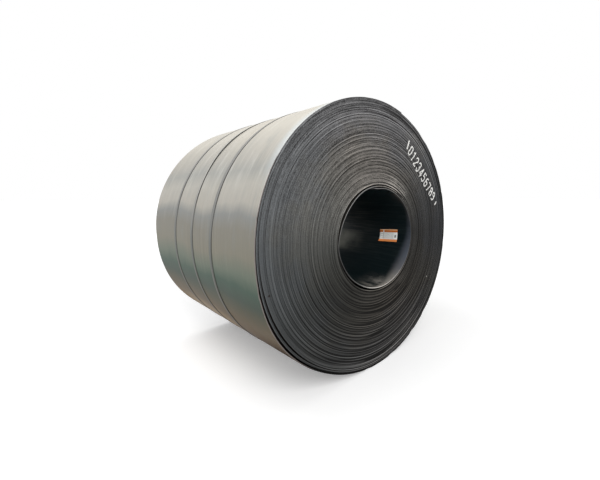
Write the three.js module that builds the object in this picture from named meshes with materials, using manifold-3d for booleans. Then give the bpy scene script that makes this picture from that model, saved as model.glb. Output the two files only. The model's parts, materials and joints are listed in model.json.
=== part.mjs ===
// A coil of hot-rolled steel strip, lying on its side with its bore level. Millimetres, +Z up.
// The bore runs along Y, and the front end, where the label is stuck in the bore, faces -Y.
// The origin is on the floor, under the middle of the coil.
// Places round the coil are clock angles in degrees: 0 is up, 90 is +X, and they grow clockwise as seen
// from the front. The strip winds outwards clockwise, from its head in the bore to its tail on the wall.

import * as THREE from 'three';
import { mergeVertices } from 'three/addons/utils/BufferGeometryUtils.js';
import Module from 'manifold-3d';

const { degToRad: radians, radToDeg: degrees, euclideanModulo } = THREE.MathUtils;

const wasm = await Module();
wasm.setup();

// ---- Driving dimensions ----

const OUTER_DIAMETER = 1580;      // over the strip's tail, its highest turn
const BORE_DIAMETER = 610;        // the mandrel that the strip was wound on
const STRIP_WIDTH = 1350;
const STRIP_THICKNESS = 5;
const TURN_GAP = 1;               // air between neighbouring turns at the bore and at the wall
const WALL_SLACK = 5;             // how far the outermost turn stands off where it has sprung loose
const WALL_SLACK_ANGLE = 230;     // where it stands off most
const WALL_BULGE = 12;            // how far the outermost turn hangs out at the lower left
const WALL_BULGE_ANGLE = 241;     // where it hangs out most
const BULGE_REACH = 32;           // how far to each side of that place it does
const BULGE_FOLLOWED = 0.5;       // how much of that the second outermost turn does too
const BORE_SLACK = 4;             // how far the innermost turn has come away from the second
const BORE_SLACK_ANGLE = 215;     // where it has come away most
const SLACK_REACH = 100;          // how far to each side of those places the turns are loose
const BORE_SAG = 12;              // how much lower the bore is, and wider to each side, by the coil's weight
const GROOVE_DEPTH = 12;          // how deep the gaps between turns go into the ends
const EDGE_WANDER = 7;            // how far the strip's edge strays from a flat end
const EDGE_WAVES = 3;             // how often it strays and comes back, between the bore and the wall
const END_TURN_INSET = 2;         // how far the first and the last turn lie in from the ends
const HEAD_FLAT_LENGTH = 80;      // the first stretch of strip, left flat by the mandrel's grip

const INNER_TURNS = 2;            // turns told apart next to the bore
const OUTER_TURNS = 3;            // turns told apart next to the wall
const BUNDLES = 9;                // bands of tight turns between them
const UNEVENNESS = 0.25;          // how much the bands' widths differ, as a share of one band
const UNEVEN_STEP = 5;            // from band to band, along the wave that sets their widths, in radians
const BAND_MARGIN = 0.5;          // from the turns told apart to the first step of a band, in turns
const FACETS = 60;                // flats round the coil, even, so that one lies level at the bottom
const TAIL_FACET = 2.5;           // the tail's place, in facets from the top
const HEAD_FACETS = 56;           // facets from the tail round to the head

const STRAP_WIDTH = 32;
const STRAP_THICKNESS = 1;
const STRAP_SPACING = 262;        // the middle strap is at mid-width
const SEAL_LENGTH = 48;
const SEAL_THICKNESS = 1.2;
const SEAL_FACET = 7;             // the facet that the seals lie on, counted from the tail
const SEAL_NOTCH_DEPTH = 5;
const SEAL_NOTCH_WIDTH = 6;
const SEAL_NOTCH_SPACING = 19;

const LABEL_LENGTH = 166;         // along the bore
const LABEL_HEIGHT = 95;          // round the bore
const LABEL_THICKNESS = 0.6;
const LABEL_SETBACK = 110;        // from the front end
const LABEL_ANGLE = 96.5;         // where its middle is

const CLEARANCE = 0.3;            // between pieces that lie on each other

// ---- Values that follow from them ----

const OUTER_RADIUS = OUTER_DIAMETER / 2;
const BORE_RADIUS = BORE_DIAMETER / 2;
const TURN_PITCH = STRIP_THICKNESS + TURN_GAP;
const FACET_ANGLE = 360 / FACETS;
const TAIL_ANGLE = TAIL_FACET * FACET_ANGLE;
const HEAD_ANGLE = TAIL_ANGLE + HEAD_FACETS * FACET_ANGLE;
const HEAD_FLAT_ANGLE = 2 * degrees(Math.asin(HEAD_FLAT_LENGTH / 2 / BORE_RADIUS));

// ---- The wound strip's spiral ----
// A place on the strip is a number of facets: near the wall from the tail, where FACETS is the tail
// itself and smaller numbers lie further back along the strip, and near the bore from the head, at 0.

function wallAngle(facet) {
  return TAIL_ANGLE + facet * FACET_ANGLE;
}

function boreAngle(facet) {
  return HEAD_ANGLE + facet * FACET_ANGLE;
}

// How wide a gap has opened between two turns, at a clock angle, from its width where it is widest.
function slackAt(angle, widest, widestAngle, reach = SLACK_REACH) {
  const away = Math.abs(euclideanModulo(angle - widestAngle + 180, 360) - 180);
  return away < reach ? widest * (1 + Math.cos(Math.PI * away / reach)) / 2 : 0;
}

// The radius of the strip's outer face, for the last turns before the tail.
function outerFace(facet) {
  const angle = wallAngle(facet);
  const slack = facet < 0 ? slackAt(angle, WALL_SLACK, WALL_SLACK_ANGLE) : 0;
  const bulge = slackAt(angle, WALL_BULGE, WALL_BULGE_ANGLE, BULGE_REACH);
  const followed = facet >= 0 ? 1 : facet >= -FACETS ? BULGE_FOLLOWED : 0;
  return OUTER_RADIUS - TURN_PITCH * (1 - facet / FACETS) - slack + bulge * followed;
}

// The radius of the strip's inner face, for the first turns after the head: the flat head is a chord.
function innerFace(facet) {
  const slack = facet > FACETS ? slackAt(boreAngle(facet), BORE_SLACK, BORE_SLACK_ANGLE) : 0;
  const round = BORE_RADIUS + TURN_PITCH * facet / FACETS + slack;
  const past = facet * FACET_ANGLE;
  const half = HEAD_FLAT_ANGLE / 2;
  const chord = BORE_RADIUS * Math.cos(radians(half)) / Math.cos(radians(past - half));
  return past < HEAD_FLAT_ANGLE ? Math.min(round, chord) : round;
}

// ---- Solids turned or swept round the bore's axis ----

function toManifold(geometry) {
  const bare = geometry.clone();
  bare.deleteAttribute('normal');
  bare.deleteAttribute('uv');
  const merged = mergeVertices(bare);
  return new wasm.Manifold(new wasm.Mesh({
    numProp: 3,
    vertProperties: new Float32Array(merged.getAttribute('position').array),
    triVerts: new Uint32Array(merged.getIndex().array),
  }));
}

function toGeometry(solid) {
  const mesh = solid.getMesh();
  const geometry = new THREE.BufferGeometry();
  geometry.setAttribute('position', new THREE.BufferAttribute(mesh.vertProperties, 3));
  geometry.setIndex(new THREE.BufferAttribute(mesh.triVerts, 1));
  return geometry;
}

// Lets what was made round sag as the coil does: most at the bore, and not at all at the wall.
function sagged(geometry) {
  const places = geometry.getAttribute('position');
  for (let i = 0; i < places.count; i += 1) {
    const across = places.getX(i);
    const up = places.getZ(i);
    const radius = Math.hypot(across, up);
    const share = Math.max(0, (OUTER_RADIUS - radius) / (OUTER_RADIUS - BORE_RADIUS));
    const stretch = 1 + BORE_SAG * share * (across ** 2 - up ** 2) / radius ** 3;
    places.setX(i, across * stretch);
    places.setZ(i, up * stretch);
  }
  return geometry;
}

// A band with a rectangular section that runs round the axis. Each section has a clock angle, a low
// and a high radius, and a front and a back y. A ring closes on itself; another band is capped.
function sweptBand(sections, isRing = false) {
  const vertices = [];
  for (const { angle, low, high, front, back } of sections) {
    const across = Math.sin(radians(angle));
    const up = Math.cos(radians(angle));
    for (const [radius, y] of [[low, front], [high, front], [high, back], [low, back]]) {
      vertices.push(radius * across, y, radius * up);
    }
  }
  const triangles = [];
  const spans = isRing ? sections.length : sections.length - 1;
  for (let span = 0; span < spans; span += 1) {
    const here = span * 4;
    const next = (span + 1) % sections.length * 4;
    for (let i = 0; i < 4; i += 1) {
      const j = (i + 1) % 4;
      triangles.push(here + i, next + j, here + j);
      triangles.push(here + i, next + i, next + j);
    }
  }
  if (!isRing) {
    const last = spans * 4;
    triangles.push(0, 1, 2, 0, 2, 3);
    triangles.push(last, last + 2, last + 1, last, last + 3, last + 2);
  }
  const geometry = new THREE.BufferGeometry();
  geometry.setAttribute('position', new THREE.Float32BufferAttribute(vertices, 3));
  geometry.setIndex(triangles);
  return geometry;
}

function range(first, last) {
  return Array.from({ length: last - first + 1 }, (_, i) => first + i);
}

// ---- The coil ----

const HALF_WIDTH = STRIP_WIDTH / 2;
const CORE_LOW = BORE_RADIUS + TURN_PITCH;              // the tight turns, as one turned body
const CORE_HIGH = OUTER_RADIUS - TURN_PITCH;
const BITE = 1;                                         // how far the end turns reach into that body
const GRAZE = 0.02;                                     // how far the gaps cut past the faces they follow
const RUN_OUT = 0.1;                                    // how far they run past the strip's ends, in facets

// The tight turns. Their ends step in and out by bundles, as the strip wandered while it was wound.
function turnedCore() {
  const first = CORE_LOW + TURN_PITCH * (INNER_TURNS + BAND_MARGIN) + BORE_SLACK;
  const last = CORE_HIGH - TURN_PITCH * (OUTER_TURNS + BAND_MARGIN) - WALL_SLACK;
  const edges = range(1, BUNDLES - 1).map((bundle) => {
    const share = (bundle + UNEVENNESS * Math.sin(UNEVEN_STEP * bundle)) / BUNDLES;
    return first + (last - first) * share;
  });
  edges.unshift(CORE_LOW);
  edges.push(CORE_HIGH);
  const end = [];
  for (const bundle of range(0, BUNDLES - 1)) {
    const wave = 2 * Math.PI * EDGE_WAVES * bundle / (BUNDLES - 1);
    const inset = EDGE_WANDER * (1 - Math.cos(wave)) / 2;
    end.push([edges[bundle], inset], [edges[bundle + 1], inset]);
  }
  const front = end.map(([radius, inset]) => new THREE.Vector2(radius, inset - HALF_WIDTH));
  const back = end.map(([radius, inset]) => new THREE.Vector2(radius, HALF_WIDTH - inset));
  const profile = [...front, ...back.reverse(), front[0]];
  return toManifold(new THREE.LatheGeometry(profile, FACETS, radians(TAIL_ANGLE)));
}

// The outermost turn grows out of the wall and ends in the tail, one turn proud.
function tailTurn() {
  return toManifold(sweptBand(range(0, FACETS).map((facet) => ({
    angle: wallAngle(facet),
    low: CORE_HIGH - BITE,
    high: facet === 0 ? CORE_HIGH - BITE / 2 : outerFace(facet),
    front: END_TURN_INSET - HALF_WIDTH,
    back: HALF_WIDTH - END_TURN_INSET,
  }))));
}

// The innermost turn starts with the head, one turn proud into the bore.
function headTurn() {
  return toManifold(sweptBand(range(0, FACETS).map((facet) => ({
    angle: boreAngle(facet),
    low: facet === FACETS ? CORE_LOW + BITE / 2 : innerFace(facet),
    high: CORE_LOW + BITE,
    front: END_TURN_INSET - HALF_WIDTH,
    back: HALF_WIDTH - END_TURN_INSET,
  }))));
}

// The gaps between the last turns, and between the first ones, cut into both ends as spiral grooves
// that run out past the tail and the head.
function turnGrooves() {
  const wallGaps = [...range(FACETS * (1 - OUTER_TURNS), FACETS), FACETS + RUN_OUT].map((facet) => ({
    angle: wallAngle(facet),
    low: outerFace(facet - FACETS) - GRAZE,
    high: outerFace(facet) - STRIP_THICKNESS,
  }));
  const boreGaps = [-RUN_OUT, ...range(0, FACETS * INNER_TURNS)].map((facet) => ({
    angle: boreAngle(facet),
    low: innerFace(facet) + STRIP_THICKNESS,
    high: innerFace(facet + FACETS) + GRAZE,
  }));
  const grooves = [];
  for (const gaps of [wallGaps, boreGaps]) {
    const cut = (front, back) => toManifold(sweptBand(gaps.map((gap) => ({ ...gap, front, back }))));
    grooves.push(cut(-HALF_WIDTH - BITE, GROOVE_DEPTH - HALF_WIDTH));
    grooves.push(cut(HALF_WIDTH - GROOVE_DEPTH, HALF_WIDTH + BITE));
  }
  return grooves;
}

function steel(name, geometry, color, roughness) {
  const material = new THREE.MeshStandardMaterial({ color, roughness, metalness: 0.85 });
  const mesh = new THREE.Mesh(geometry, material);
  mesh.name = name;
  return mesh;
}

function makeCoil() {
  let solid = turnedCore().add(tailTurn()).add(headTurn());
  for (const groove of turnGrooves()) {
    solid = solid.subtract(groove);
  }
  return steel('coil', sagged(toGeometry(solid)), 0x6b6c6a, 0.45);
}

// ---- The straps and their seals ----

// The radius of a strap's inner face at each facet corner. It passes over the tail without a step.
function strapSeat(facet) {
  return outerFace(facet === 0 ? FACETS : facet) + CLEARANCE;
}

function makeStrap(name, middle) {
  const sections = range(0, FACETS - 1).map((facet) => ({
    angle: wallAngle(facet),
    low: strapSeat(facet),
    high: strapSeat(facet) + STRAP_THICKNESS,
    front: middle - STRAP_WIDTH / 2,
    back: middle + STRAP_WIDTH / 2,
  }));
  return steel(name, sweptBand(sections, true), 0x4a4b4c, 0.5);
}

// A crimped sleeve over a strap's lap joint: a shallow channel, notched twice along each edge.
function makeSeal(name, middle) {
  const inside = STRAP_WIDTH / 2 + CLEARANCE;
  const outside = inside + SEAL_THICKNESS;
  const ceiling = STRAP_THICKNESS + CLEARANCE;
  const channel = new THREE.Shape();
  channel.moveTo(-outside, 0);
  channel.lineTo(-inside, 0);
  channel.lineTo(-inside, ceiling);
  channel.lineTo(inside, ceiling);
  channel.lineTo(inside, 0);
  channel.lineTo(outside, 0);
  channel.lineTo(outside, ceiling + SEAL_THICKNESS);
  channel.lineTo(-outside, ceiling + SEAL_THICKNESS);
  channel.closePath();
  const sleeve = new THREE.ExtrudeGeometry(channel, { depth: SEAL_LENGTH, bevelEnabled: false });
  sleeve.translate(0, 0, -SEAL_LENGTH / 2);

  let solid = toManifold(sleeve);
  const overshoot = SEAL_THICKNESS;
  for (const side of [-1, 1]) {
    for (const along of [-SEAL_NOTCH_SPACING / 2, SEAL_NOTCH_SPACING / 2]) {
      const notch = new THREE.Shape();
      notch.moveTo(side * (outside + overshoot), along - SEAL_NOTCH_WIDTH / 2);
      notch.lineTo(side * (outside - SEAL_NOTCH_DEPTH), along);
      notch.lineTo(side * (outside + overshoot), along + SEAL_NOTCH_WIDTH / 2);
      notch.closePath();
      const height = ceiling + SEAL_THICKNESS + 2 * overshoot;
      const wedge = new THREE.ExtrudeGeometry(notch, { depth: height, bevelEnabled: false });
      wedge.rotateX(-Math.PI / 2);
      wedge.translate(0, -overshoot, 0);
      solid = solid.subtract(toManifold(wedge));
    }
  }

  const seal = steel(name, toGeometry(solid), 0x55565a, 0.4);
  const angle = radians(TAIL_ANGLE + (SEAL_FACET + 0.5) * FACET_ANGLE);
  const seat = strapSeat(SEAL_FACET + 1) * Math.cos(radians(FACET_ANGLE / 2));
  seal.position.set(seat * Math.sin(angle), middle, seat * Math.cos(angle));
  const across = new THREE.Vector3(0, 1, 0);
  const outward = new THREE.Vector3(Math.sin(angle), 0, Math.cos(angle));
  const along = new THREE.Vector3().crossVectors(across, outward);
  seal.quaternion.setFromRotationMatrix(new THREE.Matrix4().makeBasis(across, outward, along));
  return seal;
}

// ---- The label in the bore ----

// The faceted bore's radius at any place after the head: on the chord between two facet corners.
function boreWall(place) {
  const facet = Math.floor(place);
  const near = innerFace(facet);
  const far = innerFace(facet + 1);
  const past = radians((place - facet) * FACET_ANGLE);
  const left = radians(FACET_ANGLE) - past;
  return near * far * Math.sin(past + left) / (near * Math.sin(past) + far * Math.sin(left));
}

// A paper label glued to the bore's wall, bent along the same facets.
function makeLabel() {
  const middle = euclideanModulo(LABEL_ANGLE - HEAD_ANGLE, 360) / FACET_ANGLE;
  const half = degrees(LABEL_HEIGHT / 2 / BORE_RADIUS) / FACET_ANGLE;
  const corners = range(Math.ceil(middle - half), Math.floor(middle + half));
  const sections = [middle - half, ...corners, middle + half].map((place) => ({
    angle: boreAngle(place),
    low: boreWall(place) - CLEARANCE - LABEL_THICKNESS,
    high: boreWall(place) - CLEARANCE,
    front: LABEL_SETBACK - HALF_WIDTH,
    back: LABEL_SETBACK + LABEL_LENGTH - HALF_WIDTH,
  }));
  const material = new THREE.MeshStandardMaterial({ color: 0xdcd8cc, roughness: 0.6, metalness: 0 });
  const label = new THREE.Mesh(sagged(sweptBand(sections)), material);
  label.name = 'bore_label';
  return label;
}

// ---- Putting them together ----

// The axis lies as high as the straps' lowest corner is below it, so that the straps touch the floor.
function axisHeight() {
  let height = 0;
  for (const facet of range(0, FACETS - 1)) {
    const drop = -Math.cos(radians(wallAngle(facet)));
    height = Math.max(height, (strapSeat(facet) + STRAP_THICKNESS) * drop);
  }
  return height;
}

const steelCoil = new THREE.Group();
steelCoil.position.z = axisHeight();
steelCoil.add(makeCoil());
for (const [place, side] of [['front', -1], ['middle', 0], ['back', 1]]) {
  steelCoil.add(makeStrap(`strap_${place}`, side * STRAP_SPACING));
  steelCoil.add(makeSeal(`strap_seal_${place}`, side * STRAP_SPACING));
}
steelCoil.add(makeLabel());

export default steelCoil;
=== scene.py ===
from functools import partialmethod
import json
import math

import bmesh
import bpy
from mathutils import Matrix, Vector
from mathutils.bvhtree import BVHTree


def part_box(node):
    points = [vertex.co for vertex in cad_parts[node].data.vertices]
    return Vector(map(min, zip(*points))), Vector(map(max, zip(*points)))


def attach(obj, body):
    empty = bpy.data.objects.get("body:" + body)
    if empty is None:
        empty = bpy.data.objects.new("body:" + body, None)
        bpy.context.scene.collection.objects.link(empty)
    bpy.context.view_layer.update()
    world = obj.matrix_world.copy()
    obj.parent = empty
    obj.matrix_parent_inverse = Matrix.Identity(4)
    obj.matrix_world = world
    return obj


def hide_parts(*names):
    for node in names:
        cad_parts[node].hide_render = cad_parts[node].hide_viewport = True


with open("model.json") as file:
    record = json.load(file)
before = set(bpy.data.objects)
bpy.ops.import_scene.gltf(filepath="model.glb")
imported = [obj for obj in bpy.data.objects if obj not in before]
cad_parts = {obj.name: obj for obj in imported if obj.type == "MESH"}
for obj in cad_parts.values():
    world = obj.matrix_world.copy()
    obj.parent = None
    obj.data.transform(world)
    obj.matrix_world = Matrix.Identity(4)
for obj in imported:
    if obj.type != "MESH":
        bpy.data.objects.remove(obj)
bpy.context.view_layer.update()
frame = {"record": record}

# ---- The tight turns ----
# One strip of hot-rolled steel, wound clockwise from its head in the bore to its tail on the wall. All its
# turns but the first and the last lie tight, and only their bare edges show: two spirals of dull dark
# steel, one on each end, with a groove between each two turns. The walls under the loose turns close them.

AXIS_HEIGHT = sum(corner[2] for corner in frame["record"]["physics"]["openings"][0]["box_m"]) / 2
HALF_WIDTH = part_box("coil")[1].y
BORE_RADIUS = 0.305
TAIL_RADIUS = 0.78825
STRIP_THICKNESS = 0.0045
HEAD_CLOCK = 351                 # clock angles run clockwise from the top, seen from the front
TAIL_CLOCK = 15
WHOLE_TURNS = 94
TURNS = WHOLE_TURNS + (TAIL_CLOCK - HEAD_CLOCK) % 360 / 360
STRIP_SIZES = {
    "Bore radius": BORE_RADIUS,
    "Pitch": (TAIL_RADIUS - STRIP_THICKNESS - BORE_RADIUS) / TURNS,
    "Strip thickness": STRIP_THICKNESS,
    "Half width": HALF_WIDTH,
    "Crown": 0.0009,
    "Bore slack": 0.0055,
    "Second bore slack": 0.009,
    "Lower bore dent": 0.006,
    "Upper bore dent": 0.009,
    "Bore pinch": 0.006,
    "Wall slack": 0.005,
    "Second wall slack": 0.004,
    "Wall bulge": 0.012,
    "Sag": 0.012,
    "Head flat": 0.08,
    "Edge wander": 0.006,
    "Edge jitter": 0.0022,
    "Wall steps": 0.002,
    "Wall nicks": 0.003,
    "Seed": 3.0,
}
LOWER_DENT = (212, 46)           # the clock angle where it is deepest, and how far to each side it reaches
UPPER_DENT = (304, 38)
BORE_PINCH = (264, 20)           # where the first turn still touches the second, between its dents
WALL_SLACK = (230, 100)
WALL_BULGE = (241, 32)
BULGE_PASSED_ON = 0.6            # how much of the bulge the next two turns follow
BULGE_TRACE = 0.25               # and the turn below them, and less in each turn down to this many
BULGE_DEPTH = 8
SAG_FADE = 1.5                   # the sag fades out towards the wall, by this power
EDGE_WAVES = 3
SLOW_RATE, QUICK_RATE = 0.31, 1.7    # how often an edge strays in and out, per turn
STEP_RATE, NICK_RATE = 0.55, 45
QUICK_SHARE = 0.6
STEPPED_TURNS = (TURNS - 14, TURNS - 8)    # from here outwards the turns lie unevenly
END_SEED = 37                    # sets the back end's random draws apart from the front's
END_INSET = 0.0016
LEAST_INSET = 0.0005
GROOVE_DEPTH = 0.003
GROOVE_STEEPNESS = 4             # a groove at a wider gap is deeper, by this many times the gap
EDGE_PARTS = 5                   # groove, inner shoulder, crown, outer shoulder, groove
HAIRLINE = 0.001                 # a turn number is known to this
SEWING_DISTANCE = 0.0001
TIGHT_POINTS = 120               # per turn

# The bare edges by share of the clock: painted light at the upper left, painted shade at the right and
# below.
EDGE_TINTS_AND_PAINTED_LIGHT = {
    0.0: (0.142, 0.136, 0.135), 0.05: (0.112, 0.108, 0.107), 0.13: (0.066, 0.065, 0.065),
    0.18: (0.044, 0.044, 0.045), 0.25: (0.029, 0.029, 0.03), 0.33: (0.032, 0.031, 0.03),
    0.45: (0.04, 0.037, 0.035), 0.61: (0.031, 0.031, 0.03), 0.67: (0.036, 0.037, 0.036),
    0.75: (0.073, 0.076, 0.077), 0.79: (0.1, 0.102, 0.103), 0.87: (0.113, 0.112, 0.112),
    0.93: (0.148, 0.142, 0.14), 1.0: (0.142, 0.136, 0.135),
}
# The innermost edge, which the mandrel has rubbed.
RUBBED_TINTS = {
    0.0: (0.17, 0.165, 0.16), 0.12: (0.13, 0.13, 0.125), 0.25: (0.06, 0.062, 0.065),
    0.36: (0.15, 0.15, 0.155), 0.43: (0.55, 0.52, 0.49), 0.54: (0.6, 0.57, 0.53),
    0.6: (0.13, 0.13, 0.125), 0.68: 0.055, 0.75: 0.08,
    0.81: (0.17, 0.17, 0.165), 0.9: (0.26, 0.26, 0.255), 1.0: (0.17, 0.165, 0.16),
}
# How plainly the single turns can be told apart, by share of the clock: by their own tones, and by the
# painted shade of the steps between them, strongest below.
EDGE_CONTRAST = {
    0.0: 0.75, 0.08: 1.1, 0.17: 0.7, 0.25: 0.5, 0.34: 1.1, 0.42: 3.3, 0.5: 3.2, 0.58: 1.5, 0.67: 0.75,
    0.75: 0.25, 0.83: 0.35, 0.92: 0.8, 1.0: 0.75,
}
# Painted light and shade on the edges from the bore to the wall, above the bore and below it: 0.5 is as
# tinted.
TOP_LIGHT_LEVELS = {0.0: 0.63, 0.12: 0.59, 0.22: 0.48, 0.5: 0.54, 0.74: 0.49, 0.85: 0.55, 1.0: 0.55}
LOW_LIGHT_LEVELS = {
    0.0: 0.4, 0.1: 0.4, 0.2: 0.36, 0.35: 0.38, 0.46: 0.53, 0.58: 0.52, 0.68: 0.49, 0.78: 0.51,
    0.88: 0.74, 1.0: 0.76,
}
# Bands of turns that are lighter or darker on one side: their middle turn and reach, the clock angle that
# they lie towards, the two cosines from it between which they begin, and by how much they differ.
EDGE_BANDS = [
    (82, 8, 58, 0.8, 0.95, 0.25),
    (83, 9, 175, 0.75, 0.97, 0.7),
    (69, 12, 178, 0.85, 0.98, -0.25),
    (68, 12, 238, 0.9, 0.98, 0.2),
    (80.6, 0.9, 145, 0.1, 0.5, -0.6),
    (88.7, 0.7, 175, 0.7, 0.9, -0.6),
    (82.6, 0.6, 22, 0.8, 0.95, 0.7),
    (90.5, 0.5, 22, 0.8, 0.95, 0.7),
]
# The same for the innermost turns.
BORE_BANDS = [
    (30, 0.94, 0.99, 0.55), (70, 0.88, 0.96, -0.2), (172, 0.88, 0.96, -0.18), (270, 0.88, 0.96, -0.18),
]
# Bright nicks on the front end: clock angle, radius, size and strength.
EDGE_NICKS = [
    (123, 0.636, 0.006, 1), (8, 0.725, 0.007, 1), (315, 0.736, 0.007, 1), (269, 0.319, 0.014, 1),
    (60.5, 0.386, 0.006, 0.6), (62, 0.444, 0.006, 0.6),
]
EDGE_PIT = (257, 0.748, 0.008, 0.85)    # a dark one, rusted
EDGE_WARM = (1.03, 1.0, 0.92)
EDGE_COOL = (0.97, 1.0, 1.03)
# A painted highlight on the outermost edge at the lower left.
EDGE_PAINTED_HIGHLIGHT = (0.36, 0.3, 0.27)
NICK_BRIGHT = (0.55, 0.53, 0.5)
PIT_RUST = (0.02, 0.012, 0.01)
# Painted shade for the gaps between the turns, with dirt over it.
GAP_SHADE_BLACK = (0.006, 0.006, 0.006)
GAP_DIRT = (0.03, 0.026, 0.022)


def feed(socket, value):
    """Sets a node's socket to a plain value, or links it to what other nodes work out."""
    if isinstance(value, Worked):
        socket.id_data.links.new(value.socket, socket)
    elif socket.type == "RGBA":
        socket.default_value = (*value, 1)
    else:
        socket.default_value = value


def result_of(tree, kind, inputs=None, output=0, **settings):
    """What a new node gives, with its settings, and with plain values or links on its named inputs."""
    node = tree.nodes.new(kind)
    for setting, value in settings.items():
        setattr(node, setting, value)
    for name, value in (inputs or {}).items():
        feed(node.inputs[name], value)
    return Worked(node.outputs[output])


class Worked:
    """A number, a place or a mesh that a tree's nodes work out, handled with Python's own operators."""

    def __init__(self, socket):
        self.socket = socket
        self.tree = socket.id_data

    def math(self, operation, *others, first=None):
        """What a Math node gives for this number and others, or for a first one and this."""
        values = (self, *others) if first is None else (first, self)
        return result_of(self.tree, "ShaderNodeMath", dict(enumerate(values)), operation=operation)

    def vector(self, operation, *others, output=0):
        """What a Vector Math node gives for this place and others."""
        values = dict(enumerate((self, *others)))
        return result_of(self.tree, "ShaderNodeVectorMath", values, output, operation=operation)

    def part(self, axis):
        """The X, Y or Z of this place."""
        return result_of(self.tree, "ShaderNodeSeparateXYZ", {0: self}, axis)

    def __rsub__(self, other):
        return self.math("SUBTRACT", first=other)

    def __rtruediv__(self, other):
        return self.math("DIVIDE", first=other)

    __neg__ = partialmethod(math, "MULTIPLY", -1)
    __abs__ = partialmethod(math, "ABSOLUTE")
    __add__ = __radd__ = partialmethod(math, "ADD")
    __mul__ = __rmul__ = partialmethod(math, "MULTIPLY")
    __sub__ = partialmethod(math, "SUBTRACT")
    __truediv__ = partialmethod(math, "DIVIDE")
    __gt__ = partialmethod(math, "GREATER_THAN")
    __lt__ = partialmethod(math, "LESS_THAN")


def combined(x, y, z):
    """A place from its three parts."""
    return result_of(x.tree, "ShaderNodeCombineXYZ", {"X": x, "Y": y, "Z": z})


def fade(value, start, full):
    """0 up to the start, 1 from the full value on, and smooth between them. Either may be the higher."""
    inputs = {"Value": value, "From Min": start, "From Max": full}
    return result_of(value.tree, "ShaderNodeMapRange", inputs, interpolation_type="SMOOTHSTEP")


def noise(place, seed, detail=2, roughness=0.5):
    """Smooth noise from 0 to 1 on a place, in four dimensions so that each use has its own seed."""
    inputs = {"Vector": place, "W": seed, "Scale": 1.0, "Detail": detail, "Roughness": roughness}
    return result_of(place.tree, "ShaderNodeTexNoise", inputs, noise_dimensions="4D")


def mixed(tree, share, first, second, kind="MIX"):
    """Two colours mixed by a share from 0 to 1."""
    inputs = {"Factor": share, 6: first, 7: second}
    return result_of(tree, "ShaderNodeMix", inputs, 2, data_type="RGBA", blend_type=kind)


def run_through(position, stops):
    """A colour or a grey that runs through stops, each at a place from 0 to 1."""
    node = position.tree.nodes.new("ShaderNodeValToRGB")
    points = node.color_ramp.elements
    while len(points) < len(stops):
        points.new(0.5)
    for point, (place, tone) in zip(points, sorted(stops.items())):
        point.position = place
        point.color = (*tone, 1) if isinstance(tone, tuple) else (tone, tone, tone, 1)
    feed(node.inputs[0], position)
    return Worked(node.outputs[0])


def attribute(tree, name):
    return result_of(tree, "ShaderNodeAttribute", output="Fac", attribute_name=name)


def object_place(tree, scale=1):
    """The place on the piece, scaled for a pattern to read."""
    place = result_of(tree, "ShaderNodeTexCoord", output="Object")
    return place.vector("MULTIPLY", scale if isinstance(scale, tuple) else (scale,) * 3)


def spoke_to(place):
    """The direction in which a place lies from the coil's axis."""
    arm = place.vector("SUBTRACT", (0, 0, AXIS_HEIGHT)).vector("MULTIPLY", (1, 0, 1))
    return arm.vector("NORMALIZE")


def side(spoke, clock, low, high):
    """1 where a spoke points at a clock angle, and 0 away from it, between two cosines of the angle."""
    angle = math.radians(clock)
    aimed = spoke.vector("DOT_PRODUCT", (math.sin(angle), 0, math.cos(angle)), output="Value")
    return fade(aimed, low, high)


def on_drum(spoke, along, around):
    """A place to read a pattern by, that runs along the coil and round it and has no seam."""
    return combined(spoke.part("X") * around, along, spoke.part("Z") * around)


def on_cylinder(clock, radius, y):
    angle = math.radians(clock)
    return Vector((radius * math.sin(angle), y, AXIS_HEIGHT + radius * math.cos(angle)))


class Finish:
    """A material in the making: a Principled shader, and the colour that its layers come to so far."""

    def __init__(self, name, colour=None, **constants):
        self.material = bpy.data.materials.new(name)
        self.material.use_nodes = True
        self.tree = self.material.node_tree
        self.sockets = self.tree.nodes["Principled BSDF"].inputs
        self.colour = colour
        for socket, value in constants.items():
            feed(self.sockets[socket.replace("_", " ").title().replace("Ior", "IOR")], value)

    def cover(self, colour, share, kind="MIX"):
        """Lays a colour over the others, for a share from 0 to 1 of it."""
        self.colour = mixed(self.tree, share, self.colour, colour, kind)

    def done(self, roughness):
        feed(self.sockets["Base Color"], self.colour)
        feed(self.sockets["Roughness"], roughness)
        return self.material


def make_gap_dirt_and_shade():
    """The faces between the turns: near-black painted shade, with oil and dirt gathered over it."""
    finish = Finish("gap_dirt_and_shade", GAP_SHADE_BLACK, metallic=0.1, specular_ior_level=0.1)
    finish.cover(GAP_DIRT, noise(object_place(finish.tree, 30), seed=13, detail=3))
    return finish.done(0.8)


def ring(turn, middle, reach):
    """1 at a turn number, falling to 0 at the reach to each side of it."""
    return fade(abs(turn - middle), reach, reach * 0.4)


def spot(tree, clock, radius, size, strength):
    """A small round mark on the front end: its strength inside it, and 0 outside."""
    away = object_place(tree).vector("DISTANCE", on_cylinder(clock, radius, -HALF_WIDTH), output="Value")
    return fade(away, size, size * 0.6) * strength


def set_off(spoke, along, apart, seed):
    """Fine lines along the spiral: how much lighter each edge is than one a little farther out."""
    near = noise(on_drum(spoke, along, 0.6), seed, detail=0)
    return near - noise(on_drum(spoke, along + apart, 0.6), seed, detail=0)


def clock_share(turn):
    """Where a turn number stands on the clock, from 0 at the top to 1 there again."""
    return (turn + HEAD_CLOCK / 360).math("FRACT")


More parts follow.
